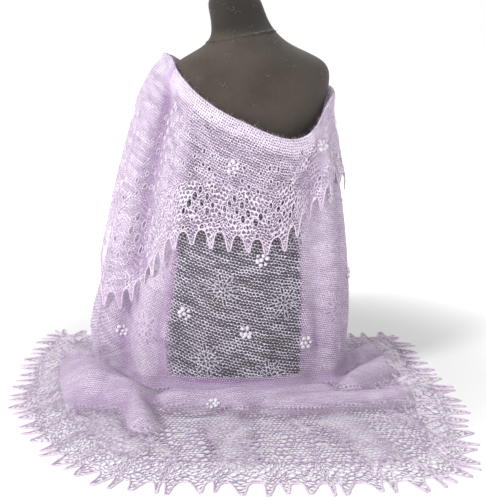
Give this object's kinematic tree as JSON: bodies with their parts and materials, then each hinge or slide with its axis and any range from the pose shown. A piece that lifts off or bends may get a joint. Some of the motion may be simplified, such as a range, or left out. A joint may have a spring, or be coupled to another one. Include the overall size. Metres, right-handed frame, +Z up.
{
  "type": "lace shawl on a limbless dress form",
  "caption": "Knitted lace shawl with a pointed edging, worn turned down over a limbless dress form, its train spread on the surface.",
  "frame": {"origin": "on the surface that the part stands on, at the middle of the dress form's flat base", "axes": "+Z up, -Y towards the side of the back and the long train, +X to the right of someone who looks at the back"},
  "size_m": [1.0382, 0.9753, 0.87],
  "materials": {
    "knit_field": "open stockinette net of fine lilac mohair and silk, soft halo",
    "knit_lace": "knitted lace of fine lilac mohair with round eyelets, soft halo",
    "knit_edging": "pointed knitted edging with a thicker doubled edge",
    "form_jersey": "matt charcoal brown jersey with a little lint"
  },
  "bodies": {
    "root": {"drape_front_left": "knit_field", "train_front_left": "knit_field", "border_front_left": "knit_lace", "flap_front_left": "knit_field", "flap_border_front_left": "knit_lace", "drape_left": "knit_field", "train_left": "knit_field", "border_left": "knit_lace", "flap_left": "knit_field", "flap_border_left": "knit_lace", "drape_back": "knit_field", "train_back": "knit_field", "border_back": "knit_lace", "flap_back": "knit_field", "flap_border_back": "knit_lace", "drape_right": "knit_field", "train_right": "knit_field", "border_right": "knit_lace", "flap_right": "knit_field", "flap_border_right": "knit_lace", "drape_front_right": "knit_field", "train_front_right": "knit_field", "border_front_right": "knit_lace", "flap_front_right": "knit_field", "flap_border_front_right": "knit_lace", "edging_front_left": "knit_edging", "edging_front_right": "knit_edging", "form_body": "form_jersey", "form_neck": "form_jersey"}
  },
  "joints": []
}
